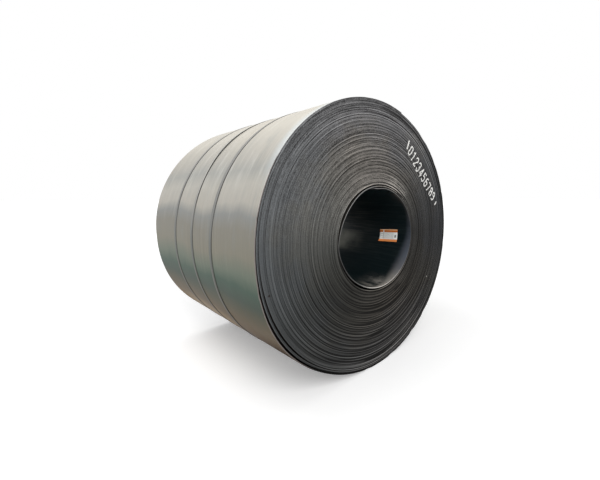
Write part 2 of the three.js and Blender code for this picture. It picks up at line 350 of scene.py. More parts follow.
def make_edge_steel():
    """Sheared edges: a grey line for each turn, seams, scuffs and nicks, and painted light and shade."""
    finish = Finish("strip_edge", metallic=0.1, specular_ior_level=0.08)
    tree = finish.tree
    turn = attribute(tree, "turn")
    depth = turn / TURNS
    clock = clock_share(turn)
    spoke = spoke_to(object_place(tree))
    up = spoke.part("Z")
    grit = noise(object_place(tree, 240), seed=9) - 0.5

    rubbed = fade(turn, 16, 6) * side(spoke, 38, 0.75, 0.95)
    # Partly painted shade: the lines between the turns stand in for their steps' shade, strongest below.
    crisp = run_through(clock, EDGE_CONTRAST) + fade(turn, 9, 3) * 0.4
    crisp = crisp + rubbed * 1.5 + ring(turn, 84, 12) * side(spoke, 42, 0.75, 0.95) * 0.9
    finer = side(spoke, 240, 0.6, 0.9)
    strands = noise(on_drum(spoke, turn * 0.45, 0.5), seed=20, detail=1) - 0.5
    strands = strands * (0.25 + side(spoke, 165, 0.4, 0.9) * 2.0)
    strands = strands + set_off(spoke, turn * 0.7, 0.9, seed=7) * (1.8 - finer * 0.8)
    strands = strands + set_off(spoke, turn, 1.0, seed=21) * (1.8 + finer * 0.9)
    tone = 0.95 + strands * crisp + grit * (0.6 + fade(up, -0.2, 0.7) * 2.0 + rubbed * 2)
    scuffs = noise(on_drum(spoke, turn * 0.8, 9), seed=6) - 0.5
    tone = tone + scuffs * fade(up, -0.3, 0.6) * 1.3
    seams = abs(noise(on_drum(spoke, turn * 0.15, 0.5), seed=14, detail=1) - 0.5)
    tone = tone - fade(seams, 0.05, 0.015) * crisp * 0.4

    # Painted light and shade by radius, above the bore and below it.
    top = run_through(depth, TOP_LIGHT_LEVELS) * 2
    low = run_through(depth, LOW_LIGHT_LEVELS) * 2
    tone = tone * (top + (low - top) * fade(up, 0.4, -0.8))
    bands = [(ring(turn, middle, reach), *band) for middle, reach, *band in EDGE_BANDS]
    bands += [(fade(turn, 22, 12), *band) for band in BORE_BANDS]
    bands += [
        ((turn > 1.0) * (turn < 2.0), 240, -0.6, 0.3, 1.1),
        (fade(turn, TURNS - 2.5, TURNS - 1.8), 140, -0.1, 0.3, -0.5),
        (turn > TURNS - 1, 15, 0.6, 0.9, -0.5),
    ]
    for share, towards, start, full, gain in bands:
        tone = tone * (1 + share * side(spoke, towards, start, full) * gain)

    # Painted light by clock angle: lighter at the upper left, painted shade at the right and below.
    finish.colour = run_through(clock, EDGE_TINTS_AND_PAINTED_LIGHT)
    blotches = noise(object_place(tree, 3), seed=8, detail=5, roughness=0.65)
    warm = fade(blotches - depth * 0.45, 0.1, 0.4)
    finish.cover(mixed(tree, warm, EDGE_COOL, EDGE_WARM), 1.0, "MULTIPLY")
    toned = {0: finish.colour, "Scale": tone.math("MAXIMUM", 0.2)}
    finish.colour = result_of(tree, "ShaderNodeVectorMath", toned, operation="SCALE")
    # Painted highlight on the outermost edge at the lower left.
    finish.cover(EDGE_PAINTED_HIGHLIGHT, (turn > TURNS - 1) * side(spoke, 262, 0.7, 0.9) * 0.35)
    finish.cover(run_through(clock, RUBBED_TINTS), (turn < 1.0) * 0.9)
    finish.cover(NICK_BRIGHT, sum(spot(tree, *nick) for nick in EDGE_NICKS) * 0.7)
    finish.cover(PIT_RUST, spot(tree, *EDGE_PIT))
    return finish.done(0.6 + grit * 0.2)


def new_group(name, sizes, make, kind):
    """A node group with an input for each size, and what make gives for them as its result."""
    group = bpy.data.node_groups.new(name, "GeometryNodeTree")
    for size, value in sizes.items():
        number = "NodeSocketInt" if isinstance(value, int) else "NodeSocketFloat"
        group.interface.new_socket(size, in_out="INPUT", socket_type=number)
    group.interface.new_socket("Result", in_out="OUTPUT", socket_type=kind)
    entry = group.nodes.new("NodeGroupInput")
    result = make({size: Worked(entry.outputs[size]) for size in sizes})
    feed(group.nodes.new("NodeGroupOutput").inputs[0], result)
    return group


def use_rule(rule, values):
    """What a group gives for these values, of which it takes those that it asks for."""
    tree = next(value.tree for value in values.values() if isinstance(value, Worked))
    names = [item.name for item in rule.interface.items_tree if item.in_out == "INPUT"]
    return result_of(tree, "GeometryNodeGroup", {name: values[name] for name in names}, node_tree=rule)


def add_object(name, data):
    thing = bpy.data.objects.new(name, data)
    bpy.context.scene.collection.objects.link(thing)
    return thing


def piece_from(name, sizes, make_mesh):
    """A piece with the plain mesh that a Geometry Nodes tree makes from these sizes."""
    def realized(size):
        mesh = make_mesh(size)
        return result_of(mesh.tree, "GeometryNodeRealizeInstances", {"Geometry": mesh})

    tree = new_group(name, sizes, realized, "NodeSocketGeometry")
    carrier = add_object(name + "_carrier", bpy.data.meshes.new(name + "_carrier"))
    modifier = carrier.modifiers.new("made", "NODES")
    modifier.node_group = tree
    for item in tree.interface.items_tree:
        if item.in_out == "INPUT":
            modifier[item.identifier] = sizes[item.name]
    graph = bpy.context.evaluated_depsgraph_get()
    mesh = bpy.data.meshes.new_from_object(carrier.evaluated_get(graph))
    bpy.data.objects.remove(carrier)
    return add_object(name, mesh)


def choose(index, values):
    """The value at a place in a short list, by a number that starts at 0."""
    node = index.tree.nodes.new("GeometryNodeIndexSwitch")
    node.data_type = "FLOAT"
    for _ in values[2:]:
        node.index_switch_items.new()
    for socket, value in zip(list(node.inputs), (index, *values)):
        feed(socket, value)
    return Worked(node.outputs[0])


def line_noise(value, seed):
    """Noise from -1 to 1 along a line."""
    inputs = {"W": value + seed, "Scale": 1.0, "Detail": 1.0}
    return result_of(value.tree, "ShaderNodeTexNoise", inputs, noise_dimensions="1D") * 2 - 1


def hump(away, reach):
    """1 where a distance is 0, falling in a smooth wave to 0 at the reach to each side."""
    share = (abs(away) / reach).math("MINIMUM", 1.0)
    return (share * math.pi).math("COSINE") * 0.5 + 0.5


def clock_angle(turn):
    return (turn + HEAD_CLOCK / 360) * math.tau


def loose_share(turn, clock, reach):
    """1 at a clock angle, falling to 0 at the reach to each side of it."""
    away = (clock_angle(turn) - math.radians(clock)).math("WRAP", math.pi, -math.pi)
    return hump(away, math.radians(reach))


def work_out_radius(size):
    """The radius of the strip's inner face at a turn number, which grows from 0 at the head."""
    turn = size["Turn"]
    wall_loose = loose_share(turn, *WALL_SLACK)
    depth = (turn - 1) / (TURNS - 2)
    radius = size["Bore radius"] + size["Pitch"] * turn
    second = (turn - 1).math("MAXIMUM", 0.0).math("MINIMUM", 1.0) * size["Second bore slack"]
    radius += (turn.math("MINIMUM", 1.0) * size["Bore slack"] + second) * (1 - depth)
    dents = loose_share(turn, *LOWER_DENT) * size["Lower bore dent"]
    dents += loose_share(turn, *UPPER_DENT) * size["Upper bore dent"]
    radius -= (dents - loose_share(turn, *BORE_PINCH) * size["Bore pinch"]) * (turn < 1.0)
    radius -= wall_loose * size["Wall slack"] * depth * (turn < TURNS - 1)
    radius -= wall_loose * size["Second wall slack"] * depth * (turn < TURNS - 3)
    follows = BULGE_PASSED_ON + (1 - BULGE_PASSED_ON) * (turn > TURNS - 1)
    trace = (1 - (TURNS - 3 - turn) / BULGE_DEPTH).math("MAXIMUM", 0.0) * BULGE_TRACE
    follows = follows * (turn > TURNS - 3) + trace * (turn < TURNS - 3)
    radius += loose_share(turn, *WALL_BULGE) * size["Wall bulge"] * follows
    half_flat = (size["Head flat"] / 2 / size["Bore radius"]).math("ARCSINE")
    past_middle = turn * math.tau - half_flat
    chord = size["Bore radius"] * half_flat.math("COSINE") / past_middle.math("COSINE")
    on_flat = past_middle < half_flat
    free = 1 - (turn / (TURNS - 1)).math("MINIMUM", 1.0)
    sag = (clock_angle(turn) * 2).math("COSINE") * size["Sag"] * free.math("POWER", SAG_FADE)
    return on_flat * chord.math("MINIMUM", radius) + (1 - on_flat) * radius - sag


def work_out_inset(size):
    """How far the strip's edge lies in from the end plane. The two edges stray by themselves."""
    turn = size["Turn"]
    own = size["Seed"] + size["End"] * END_SEED
    wave = (1 - (turn / TURNS * EDGE_WAVES * math.tau).math("COSINE")) / 2
    slow = line_noise(turn * SLOW_RATE, own)
    quick = line_noise(turn * QUICK_RATE, own + 11) * QUICK_SHARE
    steps = line_noise(turn * STEP_RATE, own + 23) * fade(turn, *STEPPED_TURNS) * size["Wall steps"]
    nicks = fade(line_noise(turn * NICK_RATE, own + 5), 0.1, 0.5)
    nicks = nicks * (turn > TURNS - 1) * size["Wall nicks"]
    inset = END_INSET + wave * size["Edge wander"] + (slow + quick) * size["Edge jitter"] + steps + nicks
    return inset.math("MAXIMUM", LEAST_INSET)


def polar_place(radius, angle, y):
    """The place at a radius and an angle round the coil's axis."""
    return combined(radius * angle.math("SINE"), y, radius * angle.math("COSINE") + AXIS_HEIGHT)


def work_out_edge(size):
    """The place of one part of the strip's edge: the end is -1 for the front and 1 for the back."""
    turn, thickness = size["Turn"], size["Strip thickness"]

    def beside(rule, turns):
        return use_rule(rule, {**size, "Turn": turn + turns})

    inner = beside(strip_radius, 0)
    outer = inner + thickness
    before = beside(strip_radius, -1) + thickness
    after = beside(strip_radius, 1)
    has_before = turn - 1 > size["First turn"] - HAIRLINE
    has_after = turn + 1 < size["Last turn"] + HAIRLINE
    low_groove = has_before * (before + inner) / 2 + (1 - has_before) * inner
    high_groove = has_after * (outer + after) / 2 + (1 - has_after) * outer
    radius = choose(size["Part"], [low_groove, inner, (inner + outer) / 2, outer, high_groove])

    here = beside(edge_inset, 0)
    shoulder = here + size["Crown"]
    low_depth, high_depth = (
        here.math("MAXIMUM", beside(edge_inset, turns)) + GROOVE_DEPTH + gap * GROOVE_STEEPNESS
        for turns, gap in ((-1, inner - before), (1, after - outer))
    )
    inset = choose(size["Part"], [low_depth, shoulder, here, shoulder, high_depth])
    return polar_place(radius, clock_angle(turn), size["End"] * (size["Half width"] - inset))


def marked(mesh, name, value):
    """A mesh with a number stored on each of its points."""
    inputs = {"Geometry": mesh, "Name": name, "Value": value}
    return result_of(
        mesh.tree, "GeometryNodeStoreNamedAttribute", inputs, data_type="FLOAT", domain="POINT"
    )


def patch(tree, rows, columns, place):
    """A sheet of faces, with place giving its turn numbers and its points from row and column."""
    grid = result_of(tree, "GeometryNodeMeshGrid", {"Vertices X": rows, "Vertices Y": columns})
    index = result_of(tree, "GeometryNodeInputIndex")
    row = ((index + 0.5) / columns).math("FLOOR")
    turn, position = place(row, index - row * columns)
    moved = {"Geometry": marked(grid, "turn", turn), "Position": position}
    return result_of(tree, "GeometryNodeSetPosition", moved)


def flipped(mesh):
    return result_of(mesh.tree, "GeometryNodeFlipFaces", {"Mesh": mesh})


def sewn(patches, sharp_bend=40):
    """Patches sewn into one skin, smooth but for its corners."""
    tree = patches[0].tree
    join = tree.nodes.new("GeometryNodeJoinGeometry")
    for sheet in patches:
        feed(join.inputs[0], sheet)
    seam = {"Geometry": Worked(join.outputs[0]), "Distance": SEWING_DISTANCE}
    skin = result_of(tree, "GeometryNodeMergeByDistance", seam)
    smooth = {"Geometry": skin, "Shade Smooth": True}
    smooth = result_of(tree, "GeometryNodeSetShadeSmooth", smooth, domain="FACE")
    bend = result_of(tree, "GeometryNodeInputMeshEdgeAngle")
    corners = {"Geometry": smooth, "Selection": bend > math.radians(sharp_bend), "Shade Smooth": False}
    return result_of(tree, "GeometryNodeSetShadeSmooth", corners, domain="EDGE")


def coated(mesh, finish, where=True):
    """A mesh with a finish on it, or on some of its faces."""
    inputs = {"Geometry": mesh, "Selection": where, "Material": finish}
    return result_of(mesh.tree, "GeometryNodeSetMaterial", inputs)


def facing_out(tree):
    """How far a face looks away from the coil's axis: 1 outwards, and -1 towards the axis."""
    spoke = spoke_to(result_of(tree, "GeometryNodeInputPosition"))
    return result_of(tree, "GeometryNodeInputNormal").vector("DOT_PRODUCT", spoke, output="Value")


def strip_skin(patches):
    """Sewn patches with bare steel on the strip's edges, and painted shade with dirt on its faces."""
    steel = coated(sewn(patches), edge_steel)
    # Painted shade on the strip's faces, in the gaps between the turns.
    return coated(steel, gap_dirt_and_shade, abs(facing_out(steel.tree)) > 0.5)


def tight_turns_mesh(size):
    """Both ends of the tight turns, the walls inside and outside them, and the strip's two cut ends."""
    first, last, points = size["First turn"], size["Last turn"], size["Points per turn"]
    tree = first.tree

    def edge(turn, part, end):
        return turn, use_rule(edge_place, {**size, "Turn": turn, "Part": part, "End": end})

    def end_face(end):
        rows = (last - first) * points + 1
        return patch(tree, rows, EDGE_PARTS, lambda row, column: edge(first + row / points, column, end))

    def wall(start, part):
        return patch(
            tree, points + 1, 2, lambda row, column: edge(start + row / points, part, column * 2 - 1)
        )

    def cut_end(turn):
        return patch(tree, EDGE_PARTS, 2, lambda row, column: edge(turn, row, column * 2 - 1))

    return strip_skin([
        end_face(-1.0), flipped(end_face(1.0)),
        flipped(wall(first, 0)), wall(last - 1, EDGE_PARTS - 1),
        cut_end(first), flipped(cut_end(last)),
    ])


def fit(piece, slot, *nodes):
    """Hands a finished piece over: it stands in for these nodes of the frame. The slot is not used."""
    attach(piece, "root")
    for node in nodes:
        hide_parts(node)


def strip_span(first, last, points):
    return {"First turn": first, "Last turn": last, "Points per turn": points, **STRIP_SIZES}


gap_dirt_and_shade = make_gap_dirt_and_shade()
edge_steel = make_edge_steel()
strip_radius = new_group("strip_radius", {"Turn": 0.0, **STRIP_SIZES}, work_out_radius, "NodeSocketFloat")
edge_inset = new_group(
    "edge_inset", {"Turn": 0.0, "End": 0.0, **STRIP_SIZES}, work_out_inset, "NodeSocketFloat"
)
edge_place = new_group(
    "edge_place", {"Turn": 0.0, "Part": 0.0, "End": 0.0, "First turn": 0.0, "Last turn": 0.0, **STRIP_SIZES},
    work_out_edge, "NodeSocketVector",
)
tight_turns = piece_from("tight_turns", strip_span(1.0, TURNS - 1, TIGHT_POINTS), tight_turns_mesh)
fit(tight_turns, "hot_rolled_steel", "coil")

# ---- The loose turns ----
# The first turn has sprung a little away from the others in the bore, and the last sags off the coil at
# the lower left, held by nothing but the straps. Each is a bar of the strip's own section that carries on
# the spirals. Their open faces have the mill's thin scale: satin on the wall, and oily black in the bore,
# with light and shade painted on both.

STRIP_CORNERS = 6
LOOSE_POINTS = 240               # per turn
BUTT_GAP = 0.0002                # of a turn, between a loose turn and the tight ones

# The scale's colour by height, mostly painted light: pale and bright above, dark at the bottom, and
# brown and green where the strip lies near the ground, as a painted reflection of it.
SCALE_TINTS_AND_PAINTED_LIGHT = {
    0.0: (0.014, 0.008, 0.003), 0.17: (0.036, 0.017, 0.004), 0.2: (0.056, 0.027, 0.007),
    0.24: (0.084, 0.05, 0.016), 0.285: (0.083, 0.058, 0.024), 0.33: (0.056, 0.057, 0.033),
    0.36: (0.04, 0.059, 0.044), 0.4: (0.052, 0.088, 0.066), 0.44: (0.14, 0.165, 0.13),
    0.49: (0.215, 0.205, 0.165), 0.56: (0.225, 0.215, 0.185), 0.6: (0.25, 0.255, 0.245),
    0.635: (0.42, 0.4, 0.36), 0.69: (0.44, 0.425, 0.385), 0.735: (0.35, 0.35, 0.33),
    0.78: (0.41, 0.395, 0.36), 0.88: (0.5, 0.475, 0.42), 1.0: (0.52, 0.49, 0.43),
}
STREAK_LIGHT = (0.7, 0.68, 0.64)
STREAK_DARK = (0.3, 0.29, 0.27)
# Pale smears, partly painted highlights.
SCALE_PALE_SMEARS_AND_HIGHLIGHTS = (0.62, 0.61, 0.57)
SCALE_BLUE = (0.24, 0.27, 0.28)
# A painted highlight along the top of the wall near the front end.
SCALE_PAINTED_HIGHLIGHT = (0.6, 0.66, 0.68)
# Painted shade, low down near the ends.
SCALE_PAINTED_SHADE = (0.01, 0.006, 0.003)
# A painted warm reflection of the ground, low down.
SCALE_WARM_REFLECTION = (0.3, 0.21, 0.11)
SCALE_RUST = (0.4, 0.24, 0.15)
# A narrow painted highlight along each end of the wall, on its upper half.
RIM_PAINTED_HIGHLIGHT = (0.75, 0.72, 0.69)
BORE_DARK = (0.008, 0.016, 0.019)
BORE_GREY = (0.036, 0.05, 0.05)
# A painted reflection of light inside the bore.
BORE_PAINTED_REFLECTION = (0.33, 0.33, 0.28)
BORE_HAZE = (0.085, 0.08, 0.07)
# Painted light and some dust near the bore's ends, by share of the clock: a crescent of light falling in at
# the lower right. Its colour, and how far it reaches inwards.
LIGHT_AND_DUST_TINTS = {
    0.05: 0.1, 0.1: (0.13, 0.125, 0.12), 0.17: 0.07, 0.25: (0.1, 0.115, 0.145),
    0.33: (0.19, 0.21, 0.255), 0.38: (0.28, 0.28, 0.3), 0.43: (0.55, 0.52, 0.48),
    0.5: (0.75, 0.7, 0.62), 0.56: (0.3, 0.28, 0.25), 0.62: (0.16, 0.16, 0.15),
}
LIGHT_AND_DUST_REACH = {
    0.04: 0.0, 0.09: 0.25, 0.16: 0.2, 0.25: 0.45, 0.31: 0.75, 0.37: 0.85, 0.42: 0.7, 0.47: 0.5,
    0.53: 0.25, 0.62: 0.0,
}
LIGHT_AND_DUST_FARTHEST = 0.12


def make_mill_scale():
    """The wall's scale, streaked along the strip, with painted light by height, highlights and shade."""
    finish = Finish("mill_scale", metallic=0.3, specular_ior_level=0.08)
    tree = finish.tree
    along = object_place(tree).part("Y")
    from_end = HALF_WIDTH - abs(along)
    spoke = spoke_to(object_place(tree))
    streaks = noise(on_drum(spoke, along * 75, 1.3), seed=1, detail=4, roughness=0.7)
    broad = noise(on_drum(spoke, along * 6, 1.6), seed=2, detail=3)
    clouds = noise(object_place(tree, 2.2), seed=3, detail=4, roughness=0.6)
    smears = noise(on_drum(spoke, along * 20, 3.5), seed=17, detail=4, roughness=0.65)
    specks = noise(object_place(tree, (45, 70, 45)), seed=18, detail=3)

    height = (spoke.part("Z") + 1) / 2 + (clouds - 0.5) * 0.07 + (broad - 0.5) * 0.03
    # Painted light by height: bright above, dark with painted green and brown reflections low down.
    finish.colour = run_through(height, SCALE_TINTS_AND_PAINTED_LIGHT)
    light = fade(streaks, 0.3, 0.75)
    plain = 0.12 + fade(clouds, 0.35, 0.7) * 0.38
    finish.cover(STREAK_LIGHT, light * plain, "SOFT_LIGHT")
    finish.cover(STREAK_DARK, (1 - light) * plain, "SOFT_LIGHT")
    # Pale smears above, partly painted highlights where the light falls.
    finish.cover(SCALE_PALE_SMEARS_AND_HIGHLIGHTS, fade(smears, 0.5, 0.75) * fade(height, 0.5, 0.8) * 0.55)
    finish.cover(SCALE_BLUE, fade(smears, 0.48, 0.3) * fade(height, 0.4, 0.6) * 0.25)
    # Painted highlight along the top of the wall near the front end.
    front_highlight = fade(HALF_WIDTH + along + smears * 0.04, 0.1, 0.02) * fade(height, 0.66, 0.8)
    finish.cover(SCALE_PAINTED_HIGHLIGHT, front_highlight * 0.6)
    # Painted shade low down near both ends.
    low_end_shade = fade(from_end, 0.35, 0.02) * fade(height, 0.28, 0.17)
    finish.cover(SCALE_PAINTED_SHADE, low_end_shade * 0.6)
    # Painted warm reflection of the ground, low down and towards the back.
    warm_reflection = fade(height, 0.28, 0.21) * fade(height, 0.08, 0.15)
    finish.cover(SCALE_WARM_REFLECTION, warm_reflection * fade(along, -0.3, -0.05) * 0.6)
    specks = fade(specks, 0.58, 0.7) * fade(from_end, 0.09, 0.01)
    finish.cover(SCALE_RUST, specks * fade(height, 0.42, 0.58) * 0.4)
    # Narrow painted highlight along each end of the wall, on its upper half.
    rim = fade(from_end + streaks * 0.004, 0.012, 0.004) * fade(height, 0.52, 0.75)
    finish.cover(RIM_PAINTED_HIGHLIGHT, rim * 0.6)
    relief = {"Height": streaks, "Distance": 0.0004, "Strength": 0.4}
    feed(finish.sockets["Normal"], result_of(tree, "ShaderNodeBump", relief))
    return finish.done(0.4 + streaks * 0.16 + low_end_shade * 0.35)


def make_bore_scale():
    """The bore's scale: black with the mandrel's oil, painted light inside and at its ends, dusty low down.
    """
    finish = Finish("bore_scale", BORE_DARK, metallic=0.5)
    tree = finish.tree
    along = object_place(tree).part("Y")
    spoke = spoke_to(object_place(tree))
    streaks = noise(on_drum(spoke, along * 4, 26), seed=5, detail=4, roughness=0.65)
    patchy = noise(object_place(tree, 5), seed=12, detail=3)
    ragged = noise(object_place(tree, (24, 12, 24)), seed=10, detail=5, roughness=0.75) - 0.5
    from_end = HALF_WIDTH - abs(along) + ragged * 0.025
    clock = clock_share(attribute(tree, "turn"))

    finish.cover(BORE_GREY, fade(streaks, 0.4, 0.8) * 0.6)
    # Painted reflection of light inside the bore, on its right side towards the middle.
    deep_reflection = fade(patchy, 0.25, 0.7) * side(spoke, 109, 0.955, 0.995)
    deep_reflection = deep_reflection * fade(along, -0.27, -0.04) * fade(along, 0.3, 0.0)
    finish.cover(BORE_PAINTED_REFLECTION, deep_reflection * (0.4 + streaks))
    haze = side(spoke, 80, 0.6, 0.95) * fade(along, -0.5, -0.1) * fade(streaks, 0.35, 0.7)
    finish.cover(BORE_HAZE, haze * 0.6)
    # Painted crescent of light near the bore's ends, with some dust.
    reach = run_through(clock, LIGHT_AND_DUST_REACH) * LIGHT_AND_DUST_FARTHEST
    light_and_dust = fade(from_end / (reach + 0.001), 1.0, 0.1) * fade(reach, 0.0, 0.01)
    light_and_dust = light_and_dust * (0.9 + ragged * fade(reach, 0.11, 0.05) * 2.2)
    strewn = fade(ragged + streaks * 0.3, 0.0, 0.35) * fade(from_end, 0.26, 0.05)
    light_and_dust = light_and_dust.math("MAXIMUM", strewn * side(spoke, 180, 0.84, 0.98) * 0.7)
    finish.cover(run_through(clock, LIGHT_AND_DUST_TINTS), light_and_dust)
    return finish.done(0.24 + streaks * 0.2)


def swept(tree, steps, corners, place):
    """The sheets of a closed bar. Place gives a turn number and a point from a step and a corner."""
    def cap(step):
        return patch(
            tree, corners // 2, 2, lambda row, column: place(step, row + column * (corners - 1 - row * 2))
        )

    bar = patch(
        tree, steps + 1, corners + 1, lambda row, column: place(row, column.math("MODULO", corners))
    )
    return [bar, cap(0), flipped(cap(steps))]


def make_loose_turn(name, first, last, open_side, open_finish):
    """A bar of the strip's section, with a finish on its open face: 1 outwards, or -1 inwards."""
    def bar_mesh(size):
        start, length = size["First turn"], size["Last turn"] - size["First turn"]
        steps = (length * size["Points per turn"]).math("ROUND")

        def corner_place(step, corner):
            turn = start + step / steps * length
            part = choose(corner, [1, 2, 3, 3, 2, 1])
            end = choose(corner, [-1, -1, -1, 1, 1, 1])
            return turn, use_rule(edge_place, {**size, "Turn": turn, "Part": part, "End": end})

        bar = strip_skin(swept(start.tree, steps, STRIP_CORNERS, corner_place))
        return coated(bar, open_finish, facing_out(start.tree) * open_side > 0.7)

    return piece_from(name, strip_span(first, last, LOOSE_POINTS), bar_mesh)


first_turn = make_loose_turn("first_turn", 0.0, 1.0 - BUTT_GAP, -1, make_bore_scale())
fit(first_turn, "hot_rolled_steel", "coil")
last_turn = make_loose_turn("last_turn", TURNS - 1 + BUTT_GAP, TURNS, 1, make_mill_scale())
fit(last_turn, "hot_rolled_steel", "coil")

# ---- The straps ----
# Three flat straps of dark waxed steel, drawn tight round the wall by a tensioner. Each follows the last
# turn, spans the step at its tail, and laps over its own lower end in the seal, where its upper end is
# cut off and left sticking up a little. They bow a little, and the middle one stands off the wall.

STRAP_WIDTH = 0.032
STRAP_THICKNESS = 0.001
STRAP_EDGE = 0.0003              # how much its rolled edges are rounded
STRAP_CLEARANCE = 0.0003
STRAP_LAP_GAP = 0.0001
STRAP_SPACING = 0.262
STRAP_CORNERS = 10
SEAL_CLOCK = 60
LAP_RAMP = (354, 358)            # degrees from its lower end, where it climbs over it
TIP_RAMP = (-5, 2)               # degrees from its upper end, where it bends up
STRAP_SIZES = {
    "Steps per turn": 240,
    "Strap width": STRAP_WIDTH,
    "Strap thickness": STRAP_THICKNESS,
    "Place along the coil": 0.0,
    "Lower end": SEAL_CLOCK - 3.4,
    "Upper end": 360 + SEAL_CLOCK + 6.5,
    "Lap rise": STRAP_THICKNESS + STRAP_LAP_GAP,
    "Tip lift": 0.005,
    "Stand-off": 0.0,
    "Stand-off clock": 316.0,
    "Stand-off reach": 22.0,
    "Waviness": 0.0016,
    "Bow": 0.0,
    "Bow clock": 253.0,
    "Bow reach": 48.0,
}
STRAPS = {                       # the place of each along the coil, its bow, and how far it stands off
    "front": (-STRAP_SPACING, 0.034, 0.0),
    "middle": (0.0, 0.013, 0.004),
    "back": (STRAP_SPACING, 0.022, 0.0),
}
# Dark streaks and edges on the straps, and the painted shade along their front edges.
STRAP_DARK = (0.018, 0.018, 0.017)
# Painted light on the middle strap's body, above.
STRAP_PAINTED_LIGHT = (0.5, 0.49, 0.45)
# The straps by height, with painted light: brighter above, darker and browner low down.
STRAP_TINTS_AND_PAINTED_LIGHT = {
    0.25: (0.085, 0.07, 0.05), 0.45: (0.15, 0.16, 0.145), 0.65: (0.27, 0.27, 0.26), 1.0: (0.34, 0.33, 0.31),
}


def wall_radius(size, clock):
    """The radius of the wall under a strap: the last turn's outer face, and the span past its tail."""
    past_tail = ((clock - TAIL_CLOCK) / 360).math("FRACT")
    turn = past_tail + (TURNS - 1 + HAIRLINE / 10)
    outer = use_rule(strip_radius, {**size, "Turn": turn}) + size["Strip thickness"]
    span = ((TAIL_RADIUS - size["Pitch"]) / TAIL_RADIUS).math("ARCCOSINE")
    from_middle = (past_tail * math.tau - span).math("MINIMUM", 0.0)
    return outer.math("MAXIMUM", span.math("COSINE") * TAIL_RADIUS / from_middle.math("COSINE"))


def strap_drift(size, clock):
    """How far a strap strays along the coil at a clock angle, towards the back end."""
    bow = hump(clock - size["Bow clock"], size["Bow reach"]) * size["Bow"]
    return bow + line_noise(clock * 0.05, size["Place along the coil"] * 50) * size["Waviness"]


def strap_mesh(size):
    """A rounded flat bar along the wall. Its turn number is its clock angle, in degrees."""
    half, thick = size["Strap width"] / 2, size["Strap thickness"]
    start, finish = size["Lower end"], size["Upper end"]
    tree = start.tree

    def corner_place(step, corner):
        clock = start + step * 360 / size["Steps per turn"]
        rise = fade(clock - start, *LAP_RAMP) * size["Lap rise"]
        tip = fade(clock - finish, *TIP_RAMP) * size["Tip lift"]
        stand_off = hump(clock - size["Stand-off clock"], size["Stand-off reach"]) * size["Stand-off"]
        flat = half - STRAP_EDGE
        across = choose(corner, [-half, -half, -flat, 0.0, flat, half, half, flat, 0.0, -flat])
        low, high = STRAP_EDGE, thick - STRAP_EDGE
        up = choose(corner, [low, high, thick, thick, thick, high, low, 0.0, 0.0, 0.0])
        radius = wall_radius(size, clock) + STRAP_CLEARANCE + rise + tip + stand_off + up
        y = size["Place along the coil"] + strap_drift(size, clock) + across
        return clock, polar_place(radius, clock * (math.pi / 180), y)

    steps = ((finish - start) / 360 * size["Steps per turn"]).math("ROUND")
    skin = sewn(swept(tree, steps, STRAP_CORNERS, corner_place), sharp_bend=60)
    clock = result_of(tree, "GeometryNodeInputNamedAttribute", {"Name": "turn"}, data_type="FLOAT")
    middle = size["Place along the coil"] + strap_drift(size, clock)
    across = (result_of(tree, "GeometryNodeInputPosition").part("Y") - middle) / half
    return coated(marked(skin, "across", across), strap_steel)


def make_strap_steel():
    """Dark waxed steel with painted light, browner low down, one edge in painted shade and the other worn.
    """
    finish = Finish("strap_steel", metallic=0.35, specular_ior_level=0.08)
    tree = finish.tree
    across = attribute(tree, "across")
    along = object_place(tree).part("Y")
    spoke = spoke_to(object_place(tree))
    up = spoke.part("Z")
    streaks = noise(on_drum(spoke, across * 3, 3), seed=7, detail=3)
    wear = noise(object_place(tree, 6), seed=11, detail=4, roughness=0.6)

    # Painted light by height: brighter above, darker and browner low down.
    finish.colour = run_through((up + 1) / 2 + (wear - 0.5) * 0.1, STRAP_TINTS_AND_PAINTED_LIGHT)
    finish.cover(STRAP_DARK, streaks * 0.3)
    middle = fade(abs(along), 0.1, 0.05)
    # Painted light on the middle strap's body, above.
    finish.cover(STRAP_PAINTED_LIGHT, middle * fade(up, 0.0, 0.6) * 0.8)
    # Painted shade along each strap's front edge: fainter from halfway up down, wider and darker on the
    # front strap low down.
    front = fade(along, -0.1, -0.2)
    front_low = front * fade(up, -0.2, -0.5)
    wider = front_low * 0.6
    shade = fade(-across, 0.45 - middle * 0.2 - wider, 0.85 - middle * 0.35 - wider)
    fainter = fade(up, 0.35, 0.15) * (0.56 - front * 0.2 - front_low * 0.36)
    finish.cover(STRAP_DARK, shade * (0.93 - fainter))
    finish.cover(STRAP_DARK, fade(across, 0.75, 1.0) * 0.3)
    return finish.done(0.42 + wear * 0.2)


strap_steel = make_strap_steel()
for where, (place, bow, stand_off) in STRAPS.items():
    own = {"Place along the coil": place, "Bow": bow, "Stand-off": stand_off}
    strap = piece_from(f"{where}_strap", {**STRIP_SIZES, **STRAP_SIZES, **own}, strap_mesh)
    fit(strap, "strap_steel", f"strap_{where}")

# ---- The seals ----
# Each strap is closed by a folded piece of steel sheet over the lap of its ends. A tool has crimped its
# sides inwards in two places, which bites into both layers and holds them by friction.

SEAL_LENGTH = 0.048
SEAL_SHEET = 0.0009
SEAL_GAP = 0.0001                # between the seal, the straps and the wall
SEAL_BEND = 0.0011
SEAL_BEND_STEPS = 3
SEAL_STATIONS = 33
SEAL_CRIMP_SPACING = 0.019
SEAL_CRIMP_LENGTH = 0.007
SEAL_CRIMP_DEPTH = 0.0022
SEAL_BEND_SQUEEZE = 0.6          # how much of a crimp the bend above it follows
SEAL_GREY = (0.3, 0.3, 0.31)
SEAL_WORN = (0.19, 0.18, 0.17)


def seat_radius(clock):
    """The wall's radius in Python numbers, for the pieces that no tree makes."""
    past_tail = (clock - TAIL_CLOCK) / 360 % 1
    return TAIL_RADIUS - STRIP_SIZES["Pitch"] * (1 - past_tail)


